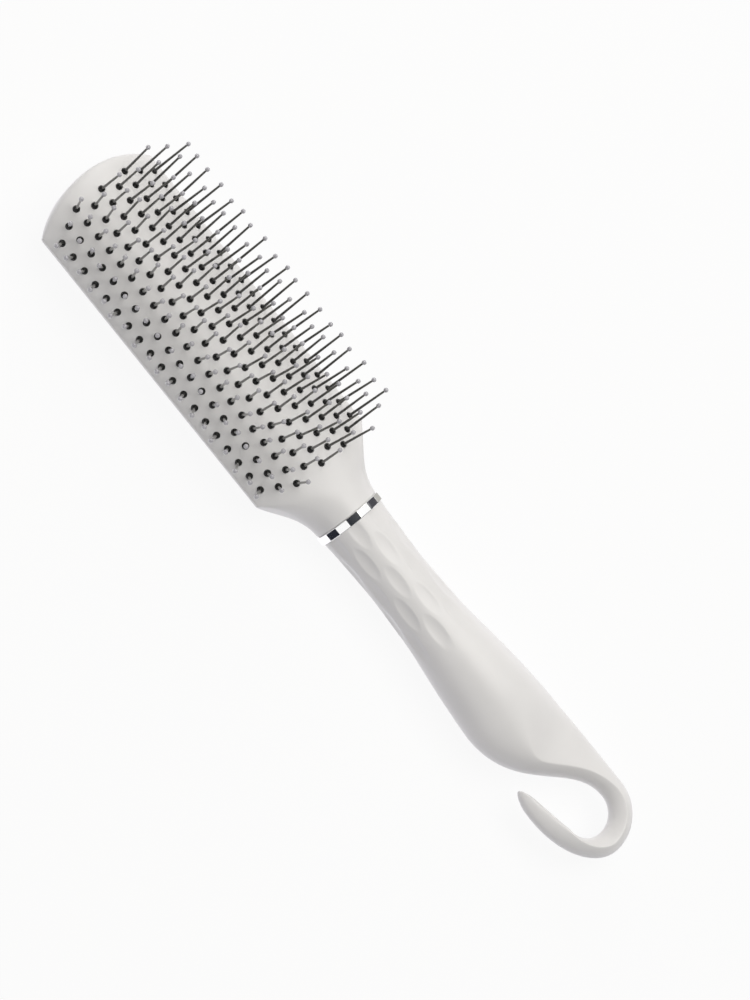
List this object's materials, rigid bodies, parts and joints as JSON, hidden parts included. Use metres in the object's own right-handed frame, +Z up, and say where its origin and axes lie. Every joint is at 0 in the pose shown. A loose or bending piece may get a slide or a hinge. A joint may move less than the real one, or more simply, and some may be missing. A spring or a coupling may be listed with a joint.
{
  "type": "hair styling brush",
  "caption": "Hair styling brush with an arched oblong head full of ball-tipped pins, a faceted bright ring and a dimpled handle that ends in a hanging hook.",
  "frame": {"origin": "on the table under the middle of the ring, which is halfway along the brush", "axes": "+X along the brush towards the hook, +Y across it towards the ninth column of pins, +Z up, the way the middle pins point; the brush lies on its back"},
  "size_m": [0.2428, 0.0504, 0.0405],
  "materials": {
    "white_plastic": "soft satin white, with a fine grain",
    "pad_rubber": "matt, dark",
    "bright_ring": "polished flats",
    "pin_plastic": "dark blue-grey, semi-gloss",
    "tip_plastic": "pale lilac, smooth"
  },
  "bodies": {
    "root": {"head": "white_plastic", "back_cover": "white_plastic", "pin_pad": "pad_rubber", "ring": "bright_ring", "handle": "white_plastic", "pin_row_1": "pin_plastic", "pin_row_2": "pin_plastic", "pin_row_3": "pin_plastic", "pin_row_4": "pin_plastic", "pin_row_5": "pin_plastic", "pin_row_6": "pin_plastic", "pin_row_7": "pin_plastic", "pin_row_8": "pin_plastic", "pin_row_9": "pin_plastic", "tip_row_1": "tip_plastic", "tip_row_2": "tip_plastic", "tip_row_3": "tip_plastic", "tip_row_4": "tip_plastic", "tip_row_5": "tip_plastic", "tip_row_6": "tip_plastic", "tip_row_7": "tip_plastic", "tip_row_8": "tip_plastic", "tip_row_9": "tip_plastic"}
  },
  "joints": []
}
